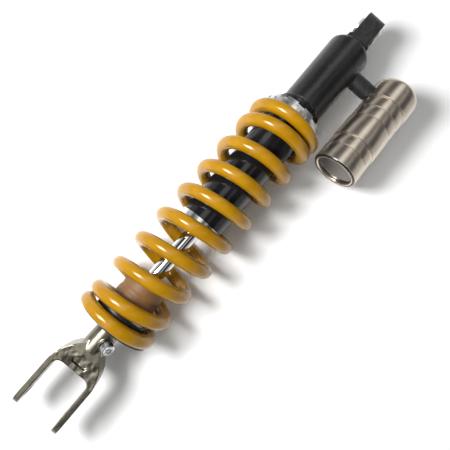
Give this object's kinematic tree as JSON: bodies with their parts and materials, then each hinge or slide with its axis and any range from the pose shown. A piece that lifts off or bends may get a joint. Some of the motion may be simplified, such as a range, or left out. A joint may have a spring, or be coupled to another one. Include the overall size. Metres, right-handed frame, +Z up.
{
  "type": "rear shock absorber",
  "caption": "Coil-over motorcycle rear shock with a side reservoir, plain upper eye, preload rings and a forked lower mount.",
  "frame": {"origin": "centre of the upper eye's bore", "axes": "+X along the damper's axis towards the lower fork, +Y along the mounting bolts towards the reservoir, +Z up with the shock lying down"},
  "size_m": [0.483, 0.1243, 0.075],
  "materials": {
    "satin_black_casting": "satin black paint over an aluminium casting",
    "gloss_black_tube": "gloss black over steel tube",
    "seal_rubber": "matte black rubber",
    "bush_bronze": "sintered bronze",
    "zinc_steel": "bright zinc plate",
    "champagne_aluminium": "turned, warm nickel-coloured anodising",
    "dark_aluminium": "polished dark anodising",
    "spring_steel": "bare spring steel",
    "machined_aluminium": "bright machined",
    "guide_band": "filled plastic bearing tape",
    "yellow_spring_paint": "thick glossy golden yellow powder coat over steel",
    "dark_steel": "dark phosphated steel",
    "bump_stop_foam": "tan polyurethane",
    "hard_chrome": "ground and polished hard chrome",
    "champagne_fork": "cast steel, nickel plated",
    "bright_chrome": "bright chrome"
  },
  "bodies": {
    "damper_body": {"head_casting": "satin_black_casting", "head_o_ring": "seal_rubber", "damper_tube": "gloss_black_tube", "upper_bush": "bush_bronze", "upper_eye_seals": "seal_rubber", "bridge_o_ring": "seal_rubber", "reservoir_body": "champagne_aluminium", "reservoir_end_cap": "dark_aluminium", "end_cap_o_ring": "seal_rubber", "reservoir_circlip": "spring_steel", "gas_fill_screw": "zinc_steel", "gas_port_cover": "dark_aluminium", "seal_head": "machined_aluminium", "seal_head_o_ring": "seal_rubber", "rod_bush": "bush_bronze", "rod_oil_seal": "seal_rubber", "rod_wiper": "seal_rubber"},
    "eye_sleeve": {"upper_eye_sleeve": "zinc_steel"},
    "gas_piston": {"floating_piston": "machined_aluminium", "floating_piston_o_ring": "seal_rubber", "floating_piston_band": "guide_band"},
    "slip_washer": {"spring_slip_washer": "zinc_steel"},
    "preload_rings": {"preload_collar": "zinc_steel", "preload_lock_ring": "zinc_steel"},
    "rod_assembly": {"piston_rod": "hard_chrome", "piston": "machined_aluminium", "piston_band": "guide_band", "compression_shims": "spring_steel", "rebound_shims": "spring_steel", "piston_nut": "zinc_steel", "top_out_washer": "seal_rubber", "bump_stop": "bump_stop_foam", "bump_stop_washer": "zinc_steel", "spring_seat": "dark_steel", "spring": "yellow_spring_paint", "clevis_fork": "champagne_fork"},
    "adjuster": {"rebound_adjuster": "bright_chrome", "adjuster_o_ring": "seal_rubber"},
    "metering": {"metering_rod": "machined_aluminium", "rebound_needle": "spring_steel"}
  },
  "joints": [
    {"name": "rod_slide", "type": "slide", "parent": "damper_body", "child": "rod_assembly", "axis": [-1, 0, 0], "range_m": [0, 0.08], "stiffness_N_per_m": 150000, "springref_m": -0.006, "deforming": ["spring", "bump_stop"]},
    {"name": "eye_sleeve_turn", "type": "hinge", "parent": "damper_body", "child": "eye_sleeve", "pos_m": [0, 0, 0], "axis": [0, 1, 0], "continuous": true},
    {"name": "gas_piston_slide", "type": "slide", "parent": "damper_body", "child": "gas_piston", "axis": [1, 0, 0], "range_m": [0, 0.0116]},
    {"name": "preload_slide", "type": "slide", "parent": "damper_body", "child": "slip_washer", "axis": [1, 0, 0], "range_m": [-0.0095, 0]},
    {"name": "preload_turn", "type": "hinge", "parent": "slip_washer", "child": "preload_rings", "pos_m": [0.125, 0, 0], "axis": [1, 0, 0], "range_deg": [-2160, 0]},
    {"name": "adjuster_turn", "type": "hinge", "parent": "rod_assembly", "child": "adjuster", "pos_m": [0.3852, 0, 0], "axis": [0.12, 0.6502, 0.7502], "range_deg": [0, 727]},
    {"name": "metering_slide", "type": "slide", "parent": "rod_assembly", "child": "metering", "axis": [1, 0, 0], "range_m": [0, 0.001]}
  ],
  "couplings": [
    {"joint": "gas_piston_slide", "follows": "rod_slide", "ratio": 0.1432},
    {"joint": "preload_slide", "follows": "preload_turn", "m_per_rad": 0.00023873},
    {"joint": "adjuster_turn", "follows": "metering_slide", "rad_per_m": 12566}
  ]
}
